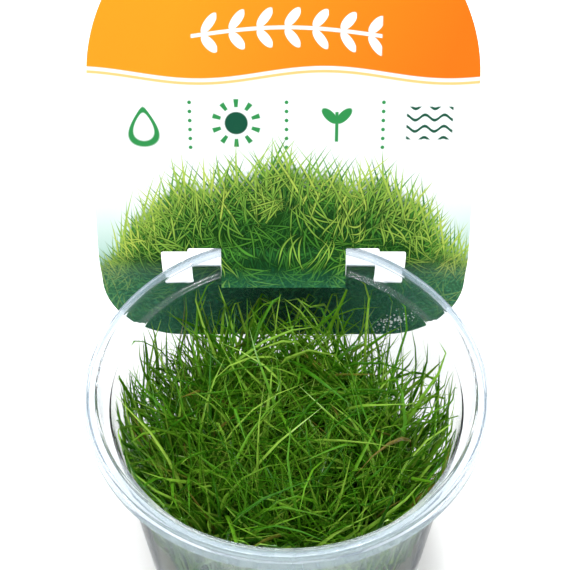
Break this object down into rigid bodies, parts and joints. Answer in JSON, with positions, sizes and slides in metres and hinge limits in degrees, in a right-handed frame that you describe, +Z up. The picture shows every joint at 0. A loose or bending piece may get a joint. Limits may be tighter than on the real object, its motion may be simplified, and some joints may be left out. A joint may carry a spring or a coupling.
{
  "type": "potted mini hairgrass",
  "caption": "Clear round culture cup with nutrient gel and dense tufts of fine grass blades, and a domed plant label hooked over the back of its rim.",
  "frame": {"origin": "centre of the flat underside of the cup", "axes": "+Z up along the axis of the cup, and the label stands at +Y, so the side that faces the viewer of the label is -Y"},
  "size_m": [0.1028, 0.1287, 0.1648],
  "materials": {
    "clear_polypropylene": "clear moulded plastic, glossy",
    "agar_gel": "cloudy jelly, wet",
    "label_sheet": "printed plastic sheet, satin",
    "grass_leaf": "living leaf, satin"
  },
  "bodies": {
    "root": {"culture_cup": "clear_polypropylene", "nutrient_gel": "agar_gel", "plant_label": "label_sheet", "tuft_01": "grass_leaf", "tuft_02": "grass_leaf", "tuft_03": "grass_leaf", "tuft_04": "grass_leaf", "tuft_05": "grass_leaf", "tuft_06": "grass_leaf", "tuft_07": "grass_leaf", "tuft_08": "grass_leaf", "tuft_09": "grass_leaf", "tuft_10": "grass_leaf", "tuft_11": "grass_leaf", "tuft_12": "grass_leaf", "tuft_13": "grass_leaf", "tuft_14": "grass_leaf", "tuft_15": "grass_leaf", "tuft_16": "grass_leaf", "tuft_17": "grass_leaf", "tuft_18": "grass_leaf", "tuft_19": "grass_leaf"}
  },
  "joints": []
}
